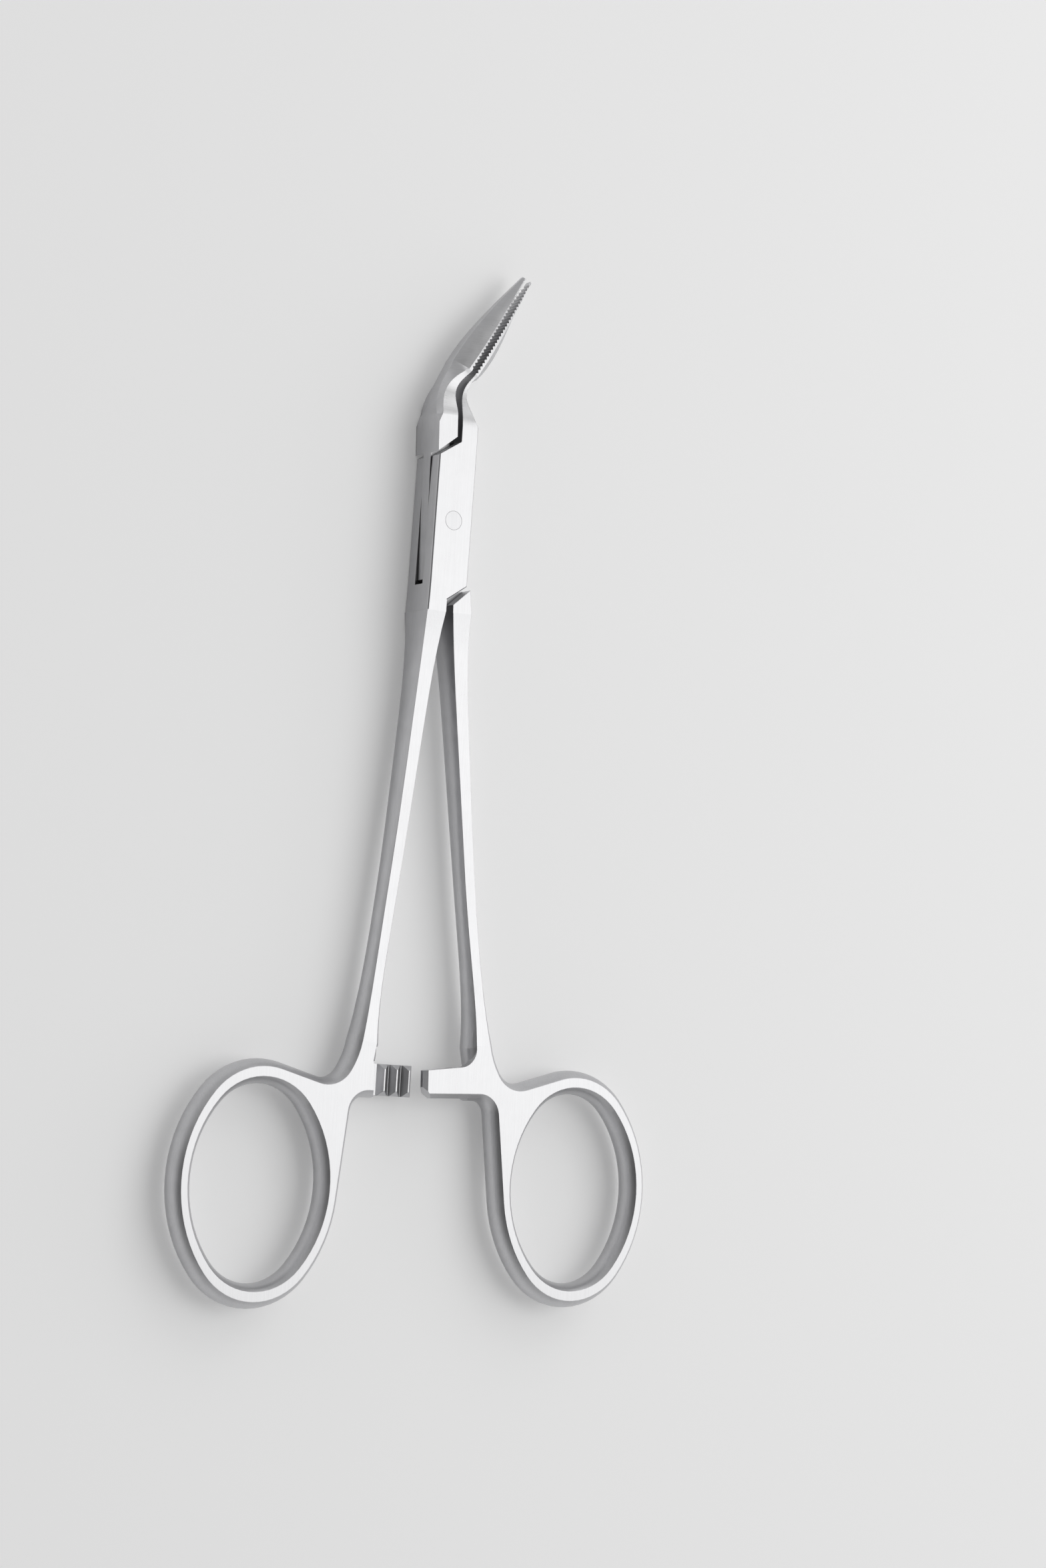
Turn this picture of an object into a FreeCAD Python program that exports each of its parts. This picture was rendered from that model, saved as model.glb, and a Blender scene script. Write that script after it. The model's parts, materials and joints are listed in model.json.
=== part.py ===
import FreeCAD, Part
import math
import os
import Sketcher

# Splinter forceps with a box lock, angled serrated jaws, finger rings and a ratchet.
# Frame: +Y runs along the shanks towards the jaws, +Z is the side with the plain
# ratchet bar, and the origin is on the pivot axis at the underside of the lock.
# Each half is described in its own frame, in which both halves lie flush in the lock.
# The box half stays in that frame, and the male half is turned by rest_opening.

V = FreeCAD.Vector
Z_AXIS = V(0, 0, 1)
NODES = "parts"

# How far blanks and cutting shapes run on past the piece that they meet
SPARE = 1.0

# Driving sizes, in millimetres and degrees
SIZES = [
    # lock
    ("lock_depth", 6.0, "front to back of the lock"),
    ("plate_depth", 2.0, "front and rear plates of the box"),
    ("slide_clearance", 0.05, "blade to plate, each side"),
    ("edge_own", 3.12, "lock edge beside a half's own shank or jaw"),
    ("edge_far", 2.87, "lock edge at the free end of a plate"),
    ("shoulder_outer", 8.75, "shoulder height at the lock edge"),
    ("shoulder_inner", 10.95, "shoulder height at the parting line"),
    ("shoulder_gap", 0.6, "box shoulder to male shoulder, halves flush"),
    ("slot_past_outer", 0.15, "slot end past the shoulder, at the lock edge"),
    ("slot_past_inner", 0.25, "slot end past the shoulder, at the parting line"),
    ("blade_end_gap", 0.8, "blade end to slot end"),
    ("low_block", 1.65, "shoulder to shank"),
    ("high_block", 2.25, "shoulder to jaw neck, box half"),
    ("male_block", 2.45, "shoulder to the square end of the male half's block"),
    ("shank_inner_x", 0.28, "parting line below the lock"),
    ("edge_round", 0.25, "rounding of the lock's long edges"),
    ("shoulder_bevel", 0.28, "bevel along the box's lower shoulder"),
    ("pin_diameter", 2.6, "joint pin"),
    ("pin_clearance", 0.03, "pin to blade bore, radial"),
    # opening
    ("rest_opening", 2.5, "male half turned from flush, as it lies"),
    ("touch_opening", 1.4, "male half turned from flush, tips meeting"),
    # web and finger rings
    ("web_drop", 71.4, "start of the web below the pivot"),
    ("ring_depth", 4.2, "front to back of ring and web"),
    ("rim_bulge", 1.0, "how far a rim swells past the flat land"),
    ("ring_x", 22.7, "ring centre"),
    ("ring_drop", 19.45, "ring centre below the start of the web"),
    ("hole_half_length", 14.03, "ring hole along the shank, land level"),
    ("hole_half_width", 10.55, "ring hole across, land level"),
    ("hole_end_radius", 8.6, "ring hole, end arcs"),
    ("rim_end", 1.3, "land at the ring's ends"),
    ("rim_side", 0.95, "land at the ring's sides"),
    ("rim_corner", 0.8, "end arcs, ring outline over ring hole"),
    ("flare_radius", 11.7, "shank to notch"),
    ("notch_radius", 4.15, "notch between shank and ring"),
    ("strap_run", 5.85, "straight stretch from notch to ring"),
    ("crotch_shift", 0.3, "crotch centre beyond the bar's root"),
    ("crotch_radius", 3.1, "crotch between ratchet bar and ring"),
    # ratchet
    ("bar_drop", 2.85, "bar's upper edge below the start of the web"),
    ("bar_width", 4.25, "bar, upper to lower edge"),
    ("bar_root_x", 6.75, "bar root"),
    ("bar_root_drop", 2.4, "bar root's upper end below the start of the web"),
    ("bar_bury", 0.8, "how far the plain bar runs on into the web"),
    ("bar_clearance", 0.05, "tooth crests to the middle plane"),
    ("box_bar_end", 1.05, "box half's bar, past the middle line"),
    ("male_bar_end", 1.75, "male half's bar, past the middle line"),
    ("bar_bevel", 0.65, "long edges of the bars"),
    ("end_bevel", 0.45, "free end of the plain bar, front edge"),
    ("end_cut_run", 1.2, "cut lower corner of the plain bar's end"),
    ("end_cut_rise", 1.5, "cut lower corner of the plain bar's end"),
    ("end_slope", 0.5, "fall of the plain bar's upper edge to its end"),
    ("bar_fillet", 2.1, "plain bar to shank, along the bar"),
    ("bar_fillet_radius", 2.5, "plain bar to shank"),
    ("rim_run_on", 1.3, "how far the rim goes on along the bar's lower edge"),
    ("tooth_pitch", 1.91, "ratchet teeth"),
    ("tooth_depth", 0.8, "ratchet teeth"),
    ("tooth_flat", 0.22, "flat crests"),
    ("tooth_valley", 0.08, "flat valleys"),
    ("tooth_lock_run", 0.75, "run of a locking face"),
    ("box_tooth_first", 0.3, "last crest of the box half's bar, past the middle line"),
    ("male_tooth_first", 1.0, "last crest of the male half's bar, past the middle line"),
    ("root_slope", 1.7, "run of the slope from the web down to the first valley"),
    ("root_slope_in", 0.35, "slope's upper edge short of the bar's root"),
    ("root_slope_drop", 0.6, "slope's end below the start of the web"),
    # jaws
    ("box_root_x", 2.55, "root of the serrated face, box half"),
    ("neck_length", 7.65, "box half's block to the root of its serrated face"),
    ("male_root_out", 0.3, "male root beyond the box half's, across"),
    ("male_root_up", 0.15, "male root beyond the box half's, along"),
    ("jaw_length", 17.43, "serrated face of the box half"),
    ("jaw_angle", 31.27, "jaws turned from the lock's axis"),
    ("tip_clearance", 0.03, "each working face to the meeting line"),
    ("serration_margin", 0.1, "bare end of the serrated face"),
    ("serration_pitch", 0.62, "teeth of the jaws"),
    ("serration_depth", 0.24, "teeth of the jaws"),
    ("serration_flat", 0.08, "flat crests of the jaws' teeth"),
]

# Sizes and places that follow from the driving ones
DERIVED = [
    ("lock_middle", "=lock_depth / 2", "middle plane"),
    ("slot_outer", "=shoulder_outer + slot_past_outer", "slot end at the lock edge"),
    ("slot_inner", "=shoulder_inner + slot_past_inner", "slot end at the parting line"),
    ("lock_low", "=shoulder_inner + low_block", "lock block to shank"),
    ("lock_high", "=shoulder_inner + high_block", "lock block to jaw neck, box half"),
    ("male_high", "=shoulder_inner + male_block", "square end of the male half's block"),
    ("bar_top", "=web_drop + bar_drop", "bar's upper edge below the pivot"),
    ("bar_bottom", "=bar_top + bar_width", "bar's lower edge below the pivot"),
    ("bar_root_high", "=web_drop + bar_root_drop", "bar root's upper end below the pivot"),
    ("ring_y", "=web_drop + ring_drop", "ring centre below the pivot"),
    ("ring_half_length", "=hole_half_length + rim_end", "ring outline along the shank"),
    ("ring_half_width", "=hole_half_width + rim_side", "ring outline across"),
    ("ring_end_radius", "=hole_end_radius + rim_corner", "ring outline, end arcs"),
    ("crotch_x", "=bar_root_x + crotch_shift", "crotch centre"),
    ("crotch_y", "=bar_bottom - bar_bevel + crotch_radius", "crotch centre below the pivot"),
    ("web_rear", "=lock_middle - ring_depth / 2", "rear face of web and ring"),
    ("web_front", "=lock_middle + ring_depth / 2", "front face of web and ring"),
    ("box_crest", "=lock_middle - bar_clearance", "crests of the box half's bar"),
    ("box_valley", "=box_crest - tooth_depth", "valleys of the box half's bar"),
    ("male_crest", "=lock_middle + bar_clearance", "crests of the male half's bar"),
    ("male_valley", "=male_crest + tooth_depth", "valleys of the male half's bar"),
    ("box_root_y", "=lock_high + neck_length", "root of the serrated face, box half"),
    ("male_root_x", "=box_root_x + male_root_out", "root of the serrated face, male half"),
    ("male_root_y", "=box_root_y + male_root_up", "root of the serrated face, male half"),
    ("box_tip_x", "=box_root_x + jaw_length * sin(jaw_angle * 1deg)", "where the tips meet"),
    ("box_tip_y", "=box_root_y + jaw_length * cos(jaw_angle * 1deg)", "where the tips meet"),
    ("male_tip_x", "=box_tip_x * cos(touch_opening * 1deg) + box_tip_y * sin(touch_opening * 1deg)",
     "where the tips meet, in the male half's frame"),
    ("male_tip_y", "=box_tip_y * cos(touch_opening * 1deg) - box_tip_x * sin(touch_opening * 1deg)",
     "where the tips meet, in the male half's frame"),
]

# Line of each serrated face, the same for both halves
JAW_LINE = [
    ("%s_line_run", "=%s_tip_x - %s_root_x", "root to tip, across"),
    ("%s_line_climb", "=%s_tip_y - %s_root_y", "root to tip, along"),
    ("%s_line_length", "=sqrt(%s_line_run ^ 2 + %s_line_climb ^ 2)", "root to tip"),
    ("%s_line_angle", "=atan(%s_line_run / %s_line_climb) / 1deg", "turn from the lock's axis"),
]

# Shank stations between the lock and the web: share of the way, centre, land, lean in
# degrees, bulge, depth. The first is as deep as the lock, and the last has the web's
# depth and bulge.
SHANK = [
    (0.0, 1.775, 2.95, 0.0, 0.05),
    (0.066, 2.02, 2.45, 4.8, 0.22, 4.95),
    (0.313, 3.22, 1.8, 4.9, 0.42, 3.8),
    (0.534, 4.4, 1.55, 5.5, 0.5, 3.35),
    (0.772, 5.9, 1.4, 6.3, 0.58, 3.15),
    (0.908, 6.85, 1.5, 7.5, 0.75, 3.6),
    (1.0, 7.42, 2.2, 9.0),
]
SHANK_KEYS = ("share", "centre", "land", "lean", "bulge", "depth")

# Neck stations between the lock and the jaw's root: share of the way, inner edge, tilt in
# degrees, land, flank beside it, land below the lock's face, flank's fall, swell
BOX_NECK = [
    (0.0, 0.52, 0.0, 2.5, 0.13, 0.0, 0.1, 0.0),
    (0.144, 0.5, 0.0, 1.95, 0.5, 0.07, 0.63, 0.0),
    (0.3, 0.49, 0.0, 1.25, 0.83, 0.3, 0.9, 0.0),
    (0.523, 0.52, 5.0, 0.72, 0.88, 0.6, 1.2, 0.0),
    (0.771, 1.2, 20.0, 0.45, 0.53, 0.72, 1.28, 0.0),
]
MALE_NECK = [
    (0.0, 0.33, 0.0, 2.98, 0.02, 0.0, 0.02, 0.0),
    (0.145, 0.33, 0.0, 2.46, 0.54, 0.0, 0.7, 0.0),
    (0.29, 0.27, 0.0, 2.3, 0.2, 0.16, 1.44, 0.01),
    (0.5, 0.2, 5.0, 1.85, 0.17, 0.58, 1.52, 0.02),
    (0.75, 0.85, 20.0, 1.2, 0.7, 0.72, 1.33, 0.06),
]
NECKS = {"box": BOX_NECK, "male": MALE_NECK}
NECK_KEYS = ("share", "inner", "tilt", "land", "flank", "sink", "fall", "swell")

# Jaw stations from root to tip: share of the way, land, flank beside it, half height of
# the outer ridge, flank's fall, swell
BOX_JAW = [
    (0.0, 0.5, 0.55, 1.05, 1.15, 0.0),
    (0.25, 0.55, 0.93, 0.9, 1.15, 0.0),
    (0.5, 0.45, 0.67, 0.65, 1.07, 0.0),
    (1.0, 0.12, 0.26, 0.25, 0.25, 0.0),
]
MALE_JAW = [
    (0.0, 0.5, 2.22, 1.0, 1.2, 0.14),
    (0.25, 0.35, 2.25, 0.9, 1.15, 0.17),
    (0.5, 0.3, 1.8, 0.65, 1.07, 0.15),
    (0.75, 0.25, 1.1, 0.4, 0.82, 0.1),
    (1.0, 0.12, 0.34, 0.25, 0.25, 0.02),
]
JAWS = {"box": BOX_JAW, "male": MALE_JAW}
JAW_KEYS = ("share", "land", "flank", "ridge", "fall", "swell")

doc = FreeCAD.newDocument("splinter_forceps")
sheet = doc.addObject("Spreadsheet::Sheet", "Sizes")


# Sheet

def station_rows(prefix, keys, stations):
    """Name, value and note of each number in a list of stations."""
    return [("%s_%s_%s" % (prefix, key, "abcdefgh"[index]), value, key)
            for index, station_values in enumerate(stations)
            for key, value in zip(keys, station_values)]


def jaw_line_rows(half):
    """Name, formula and note of each value of a serrated face's line."""
    return [(alias % half, formula.replace("%s", half), "%s half, %s" % (half, note))
            for alias, formula, note in JAW_LINE]


def fill_sheet():
    """Write every driving size, and below them what follows from them."""
    rows = SIZES + station_rows("shank", SHANK_KEYS, SHANK)
    for half in ("box", "male"):
        rows += station_rows(half + "neck", NECK_KEYS, NECKS[half])
        rows += station_rows(half + "jaw", JAW_KEYS, JAWS[half])
    rows += DERIVED + jaw_line_rows("box") + jaw_line_rows("male")
    for row, (alias, content, note) in enumerate(rows, 1):
        sheet.set("A%d" % row, note)
        sheet.set("B%d" % row, str(content))
        sheet.setAlias("B%d" % row, alias)
    doc.recompute()


def cell(alias):
    """Name of a cell as an expression reads it."""
    return "Sizes." + alias


def size(expression):
    """Value of an expression on the sheet's cells."""
    value = sheet.evalExpression(str(expression))
    return float(getattr(value, "Value", value))


def value_of(alias):
    """Value of one named cell."""
    return size(cell(alias))


def station(prefix, index):
    """Function that names the cells of one station."""
    return lambda key: cell("%s_%s_%s" % (prefix, key, "abcdefgh"[index]))


def part_way(share, start, end):
    """Expression of a place between two others."""
    return "(%s + %s * (%s - %s))" % (start, share, end, start)


# Sketches

def bind_point(sketch, geometry, end, x, y):
    """Tie an end of a sketch element to two expressions."""
    for kind, expression in (("DistanceX", x), ("DistanceY", y)):
        number = sketch.addConstraint(Sketcher.Constraint(kind, -1, 1, geometry, end, size(expression)))
        sketch.setExpression("Constraints[%d]" % number, expression)


def closed_sketch(name, corners, bends=None, placement=None):
    """Closed outline through corners; bends gives the outward rise and radius of round sides."""
    sketch = doc.addObject("Sketcher::SketchObject", name)
    bends = bends or {}
    points = [V(size(x), size(y), 0) for x, y in corners]
    count = len(points)
    starts, ends = [], []
    for index in range(count):
        first, last = points[index], points[(index + 1) % count]
        if index not in bends:
            sketch.addGeometry(Part.LineSegment(first, last), False)
            starts.append(1)
            ends.append(2)
            continue
        chord = last - first
        rise = size(bends[index][0])
        middle = (first + last) * 0.5 + V(chord.y, -chord.x, 0).normalize() * rise
        # The solver keeps arcs anticlockwise, so a hollow side is drawn backwards
        forward = rise > 0
        arc = Part.Arc(first, middle, last) if forward else Part.Arc(last, middle, first)
        sketch.addGeometry(arc, False)
        starts.append(1 if forward else 2)
        ends.append(2 if forward else 1)
    for index in range(count):
        following = (index + 1) % count
        sketch.addConstraint(Sketcher.Constraint("Coincident", index, ends[index],
                                                 following, starts[following]))
    for index, (x, y) in enumerate(corners):
        bind_point(sketch, index, starts[index], x, y)
    for index, (_, radius) in bends.items():
        number = sketch.addConstraint(Sketcher.Constraint("Radius", index, size(radius)))
        sketch.setExpression("Constraints[%d]" % number, radius)
    if placement:
        sketch.setExpression("Placement", placement)
    return sketch


def upright(x, y, turn):
    """Placement expression of a section plane that stands across a bar."""
    return ("placement(vector(%s; %s; %s); rotation(vector(0; 0; 1); %s) "
            "* rotation(vector(1; 0; 0); 90))" % (x, y, cell("lock_middle"), turn))


def swell_radius(chord_squared, swell):
    """Radius of an arc from the square of its chord and its rise."""
    return "((%s) / 4 + %s ^ 2) / (2 * %s)" % (chord_squared, swell, swell)


def barrel_section(name, land, depth, bulge, placement):
    """Section with flat front and back lands and sides that swell out."""
    half, tall = "%s / 2" % land, "%s / 2" % depth
    corners = [("-" + half, "-" + tall), (half, "-" + tall), (half, tall), ("-" + half, tall)]
    side = (bulge, swell_radius("%s ^ 2" % depth, bulge))
    return closed_sketch(name, corners, {1: side, 3: side}, placement)


def beak_section(name, at, deep, ridge, placement):
    """Section of a neck or jaw: flat inner face, narrow lands, swollen flanks and a ridge."""
    land, swell = at("land"), at("swell")
    width = "(%s + %s)" % (land, at("flank"))
    corners = [("0", deep), ("0", "-" + deep), (land, "-" + deep), (width, "-" + ridge),
               (width, ridge), (land, deep)]
    bends = {}
    if size(swell) > 0:
        flank = (swell, swell_radius("%s ^ 2 + %s ^ 2" % (at("flank"), at("fall")), swell))
        bends = {2: flank, 4: flank}
    return closed_sketch(name, corners, bends, placement)


# Solids

def prism(name, sketch, direction, base, depth):
    """Solid prism of a sketch along an axis, from one place on that axis over a depth."""
    solid = doc.addObject("Part::Extrusion", name)
    solid.Base = sketch
    solid.DirMode = "Custom"
    solid.Dir = direction
    solid.Solid = True
    axis = "x" if direction.x else "y" if direction.y else "z"
    solid.setExpression("LengthFwd", depth)
    solid.setExpression("Placement.Base." + axis, base)
    return solid


def loft(name, sections, ruled=False, degree=5):
    """Solid through sections, smooth or with straight sides; a low degree needs fewer facets."""
    solid = doc.addObject("Part::Loft", name)
    solid.Sections = sections
    solid.Solid = True
    solid.Ruled = ruled
    solid.MaxDegree = degree
    return solid


def fuse(name, shapes):
    """Union of solids."""
    solid = doc.addObject("Part::MultiFuse", name)
    solid.Shapes = shapes
    solid.Refine = False
    return solid


def common(name, first, second):
    """Space that two solids share."""
    solid = doc.addObject("Part::Common", name)
    solid.Base = first
    solid.Tool = second
    return solid


def cut(name, base, tool):
    """Solid with another cut out of it."""
    solid = doc.addObject("Part::Cut", name)
    solid.Base = base
    solid.Tool = tool
    return solid


def mirrored(name, source):
    """Mirror image across the middle line."""
    solid = doc.addObject("Part::Mirroring", name)
    solid.Source = source
    solid.Base = V(0, 0, 0)
    solid.Normal = V(1, 0, 0)
    return solid


def held(name, shape):
    """Solid that is worked out from the sheet with plain geometry."""
    feature = doc.addObject("Part::Feature", name)
    feature.Shape = shape
    return feature


# Lock

def full_depth(name, corners):
    """Block of an outline, as deep as the lock."""
    return prism(name, closed_sketch(name + "_outline", corners), Z_AXIS, "0", cell("lock_depth"))


def shank_root_out():
    """Outer X of both shanks at the lock."""
    return "(%s + %s / 2)" % (cell("shank_centre_a"), cell("shank_land_a"))


def neck_sides(half):
    """Inner and outer X of a half's block above the lock, as positive distances."""
    inner = cell(half + "neck_inner_a")
    width = "%s + %s" % (cell(half + "neck_land_a"), cell(half + "neck_flank_a"))
    sign = "+" if half == "box" else "-"
    return inner, "(%s %s %s)" % (width, sign, inner)


def box_block():
    """Both plates and the solid ends of the box half, before the slot is cut."""
    own, far = cell("edge_own"), cell("edge_far")
    outer, inner = cell("shoulder_outer"), cell("shoulder_inner")
    low, high = cell("lock_low"), cell("lock_high")
    shank_in = cell("shank_inner_x")
    neck_in, neck_out = neck_sides("box")
    return full_depth("box_block", [
        ("-" + shank_root_out(), "-" + low), ("-" + shank_in, "-" + low),
        ("-" + shank_in, "-" + inner), (far, "-" + outer), (own, outer), (neck_out, high),
        (neck_in, high), (neck_in, inner), ("-" + far, outer), ("-" + own, "-" + outer)])


def slot_space():
    """Space between the plates, open at both lock edges."""
    own, shank_in, neck_in = cell("edge_own"), cell("shank_inner_x"), cell("boxneck_inner_a")
    outer, inner = cell("slot_outer"), cell("slot_inner")
    rise = "(%s - %s)" % (inner, outer)
    wide = "(2 * %s)" % own
    left_y = "(%s - %s * %s / (%s - %s))" % (outer, rise, own, own, shank_in)
    right_y = "(%s - %s * %s / (%s - %s))" % (outer, rise, own, own, neck_in)
    below = "(%s + %s)" % (cell("lock_low"), own)
    above = "(%s + %s)" % (cell("lock_high"), own)
    outline = closed_sketch("slot_outline", [
        ("-" + wide, "-" + left_y), ("-" + shank_in, "-" + inner), ("-" + shank_in, "-" + below),
        (wide, "-" + below), (wide, right_y), (neck_in, inner), (neck_in, above),
        ("-" + wide, above)])
    depth = "%s - 2 * %s" % (cell("lock_depth"), cell("plate_depth"))
    return prism("slot_space", outline, Z_AXIS, cell("plate_depth"), depth)


def male_low_block():
    """Full-depth block where the male half's shank starts."""
    low, gap = cell("lock_low"), cell("shoulder_gap")
    shank_in = cell("shank_inner_x")
    edge = "(%s - %s / 4)" % (cell("edge_own"), gap)
    return full_depth("male_low_block", [
        (shank_in, "-" + low), (shank_root_out(), "-" + low),
        (edge, "-(%s + %s)" % (cell("shoulder_outer"), gap)),
        (shank_in, "-(%s + %s)" % (cell("shoulder_inner"), gap))])


def male_high_block():
    """Full-depth block where the male half's jaw starts."""
    high, gap = cell("male_high"), cell("shoulder_gap")
    neck_in, neck_out = neck_sides("male")
    return full_depth("male_high_block", [
        (neck_in, high), ("-" + neck_out, high),
        ("-" + neck_out, "(%s + %s)" % (cell("shoulder_outer"), gap)),
        (neck_in, "(%s + %s)" % (cell("shoulder_inner"), gap))])


def shoulder_wedge():
    """Wedge that bevels the front edge of the box's lower shoulder."""
    rise = "(%s - %s)" % (cell("shoulder_inner"), cell("shoulder_outer"))
    run = "(%s + %s)" % (cell("edge_far"), cell("shank_inner_x"))
    length = "sqrt(%s ^ 2 + %s ^ 2)" % (run, rise)
    leg = cell("shoulder_bevel")
    place = ("placement(vector(-%s; -%s; %s); rotation(vector(0; 0; 1); atan(%s / %s) - 90deg) "
             "* rotation(vector(1; 0; 0); 90))" % (cell("shank_inner_x"), cell("shoulder_inner"),
                                                   cell("lock_depth"), rise, run))
    corners = [("-" + leg, "%s / 2" % leg), ("%s / 2" % leg, "-" + leg), ("%s / 2" % leg, "%s / 2" % leg)]
    wedge = doc.addObject("Part::Extrusion", "shoulder_wedge")
    wedge.Base = closed_sketch("shoulder_wedge_outline", corners, None, place)
    wedge.DirMode = "Custom"
    wedge.Solid = True
    wedge.setExpression("Dir.x", "%s / %s" % (run, length))
    wedge.setExpression("Dir.y", "%s / %s" % (rise, length))
    wedge.setExpression("Dir.z", "0")
    wedge.setExpression("LengthFwd", "%s + %s" % (length, leg))
    return wedge


def blade():
    """Thin blade of the male half, which passes through the slot."""
    own, far, gap = cell("edge_own"), cell("edge_far"), cell("blade_end_gap")
    low, high = cell("lock_low"), cell("male_high")
    shank_in = cell("shank_inner_x")
    neck_in, neck_out = neck_sides("male")
    end_outer = "(%s - %s)" % (cell("slot_outer"), gap)
    end_inner = "(%s - %s)" % (cell("slot_inner"), gap)
    shoulder = "(%s + %s)" % (cell("shoulder_outer"), cell("shoulder_gap"))
    outline = closed_sketch("blade_outline", [
        ("-" + own, "-" + end_outer), (shank_in, "-" + end_inner), (shank_in, "-" + low),
        (far, "-" + low), (far, "-" + shoulder), (own, end_outer), (neck_in, end_inner),
        (neck_in, high), ("-" + neck_out, high), ("-" + neck_out, shoulder)])
    base = "%s + %s" % (cell("plate_depth"), cell("slide_clearance"))
    return prism("blade", outline, Z_AXIS, base, "%s - 2 * (%s)" % (cell("lock_depth"), base))


def round_bar(name, radius):
    """Cylinder on the pivot axis through the whole lock."""
    solid = doc.addObject("Part::Cylinder", name)
    solid.setExpression("Radius", radius)
    solid.setExpression("Height", cell("lock_depth"))
    return solid


# Shank, web and finger ring, on the +X side

def shank():
    """Tapered shank from the lock to the web."""
    sections = []
    last = len(SHANK) - 1
    for index in range(len(SHANK)):
        at = station("shank", index)
        drop = part_way(at("share"), cell("lock_low"), cell("web_drop"))
        place = upright(at("centre"), "-" + drop, at("lean"))
        depth = {0: cell("lock_depth"), last: cell("ring_depth")}.get(index, at("depth"))
        bulge = cell("rim_bulge") if index == last else at("bulge")
        sections.append(barrel_section("shank_section_%d" % index, at("land"), depth, bulge, place))
    return loft("shank", sections)


class Oval:
    """Oval of four tangent arcs, long along Y."""

    def __init__(self, centre, half_length, half_width, end_radius):
        self.centre = centre
        self.end_radius = end_radius
        self.end_reach = half_length - end_radius
        self.side_radius = ((half_width ** 2 + self.end_reach ** 2 - end_radius ** 2)
                            / (2 * (half_width - end_radius)))
        self.side_reach = self.side_radius - half_width

    def end_centre(self, sign):
        """Centre of the upper (+1) or lower (-1) end arc."""
        return self.centre + V(0, sign * self.end_reach, 0)

    def side_centre(self, sign):
        """Centre of the right (+1) or left (-1) side arc."""
        return self.centre + V(-sign * self.side_reach, 0, 0)

    def joint(self, side, end):
        """Point where a side arc meets an end arc."""
        direction = (self.end_centre(end) - self.side_centre(side)).normalize()
        return self.end_centre(end) + direction * self.end_radius

    def outline(self):
        """Edges of the whole oval, anticlockwise."""
        joints = [self.joint(1, 1), self.joint(-1, 1), self.joint(-1, -1), self.joint(1, -1)]
        centres = [self.end_centre(1), self.side_centre(-1), self.end_centre(-1), self.side_centre(1)]
        return [arc_edge(centres[turn], joints[turn], joints[(turn + 1) % 4]) for turn in range(4)]


def arc_edge(centre, start, end):
    """Arc edge of less than half a turn between two points of a circle."""
    middle = ((start - centre) + (end - centre)).normalize() * (start - centre).Length
    return Part.Arc(start, centre + middle, end).toShape()


def circles_meet(first, first_radius, second, second_radius, side):
    """Point where two circles meet, left (+1) or right (-1) of the way between their centres."""
    way = second - first
    reach = way.Length
    along = (reach ** 2 + first_radius ** 2 - second_radius ** 2) / (2 * reach)
    across = math.sqrt(first_radius ** 2 - along ** 2)
    return first + (way * along + Z_AXIS.cross(way) * across * side) * (1 / reach)


def crossing_tangent(centre, radius, other, other_radius, turn):
    """Tangent points of a line that crosses between two circles."""
    line = other - centre
    angle = math.atan2(line.y, line.x) + turn * math.acos((radius + other_radius) / line.Length)
    normal = V(math.cos(angle), math.sin(angle), 0)
    return centre + normal * radius, other - normal * other_radius


def handle_paths():
    """Edges of the outer rim, the bar root, the shank's inner side, the hole and the joint."""
    at = station("shank", len(SHANK) - 1)
    lean = math.radians(size(at("lean")))
    outward = V(math.cos(lean), math.sin(lean), 0)
    along = V(math.sin(lean), -math.cos(lean), 0)
    centre = V(size(at("centre")), -value_of("web_drop"), 0)
    shank_out = centre + outward * (size(at("land")) / 2)
    shank_in = centre - outward * (size(at("land")) / 2)

    ring_centre = V(value_of("ring_x"), -value_of("ring_y"), 0)
    ring = Oval(ring_centre, value_of("ring_half_length"), value_of("ring_half_width"),
                value_of("ring_end_radius"))
    hole = Oval(ring_centre, value_of("hole_half_length"), value_of("hole_half_width"),
                value_of("hole_end_radius"))

    flare, notch_radius = value_of("flare_radius"), value_of("notch_radius")
    flare_centre = shank_out + outward * flare
    crown_centre = ring.end_centre(1)
    strap_reach = math.hypot(notch_radius + ring.end_radius, value_of("strap_run"))
    notch = circles_meet(flare_centre, flare - notch_radius, crown_centre, strap_reach, -1)
    notch_start = flare_centre + (notch - flare_centre).normalize() * flare
    notch_end, crown = crossing_tangent(notch, notch_radius, crown_centre, ring.end_radius, -1)

    crotch = V(value_of("crotch_x"), -value_of("crotch_y"), 0)
    crotch_radius = value_of("crotch_radius")
    crotch_start, strap = crossing_tangent(crotch, crotch_radius, ring.side_centre(-1),
                                           ring.side_radius, 1)
    crotch_end = crotch + V(0, crotch_radius, 0)
    rim_end = crotch_end - V(value_of("rim_run_on"), 0, 0)
    root_high = shank_in + along * ((value_of("bar_root_high") + shank_in.y) / math.cos(lean))

    rim = [
        arc_edge(flare_centre, shank_out, notch_start),
        arc_edge(notch, notch_start, notch_end),
        Part.makeLine(notch_end, crown),
        arc_edge(ring.end_centre(1), crown, ring.joint(1, 1)),
        arc_edge(ring.side_centre(1), ring.joint(1, 1), ring.joint(1, -1)),
        arc_edge(ring.end_centre(-1), ring.joint(1, -1), ring.joint(-1, -1)),
        arc_edge(ring.side_centre(-1), ring.joint(-1, -1), strap),
        Part.makeLine(strap, crotch_start),
        arc_edge(crotch, crotch_start, crotch_end),
        Part.makeLine(crotch_end, rim_end),
    ]
    root = [Part.makeLine(rim_end, root_high)]
    inner = [Part.makeLine(root_high, shank_in)]
    joint = [Part.makeLine(shank_in, shank_out)]
    return rim, root, inner, hole.outline(), joint


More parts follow.
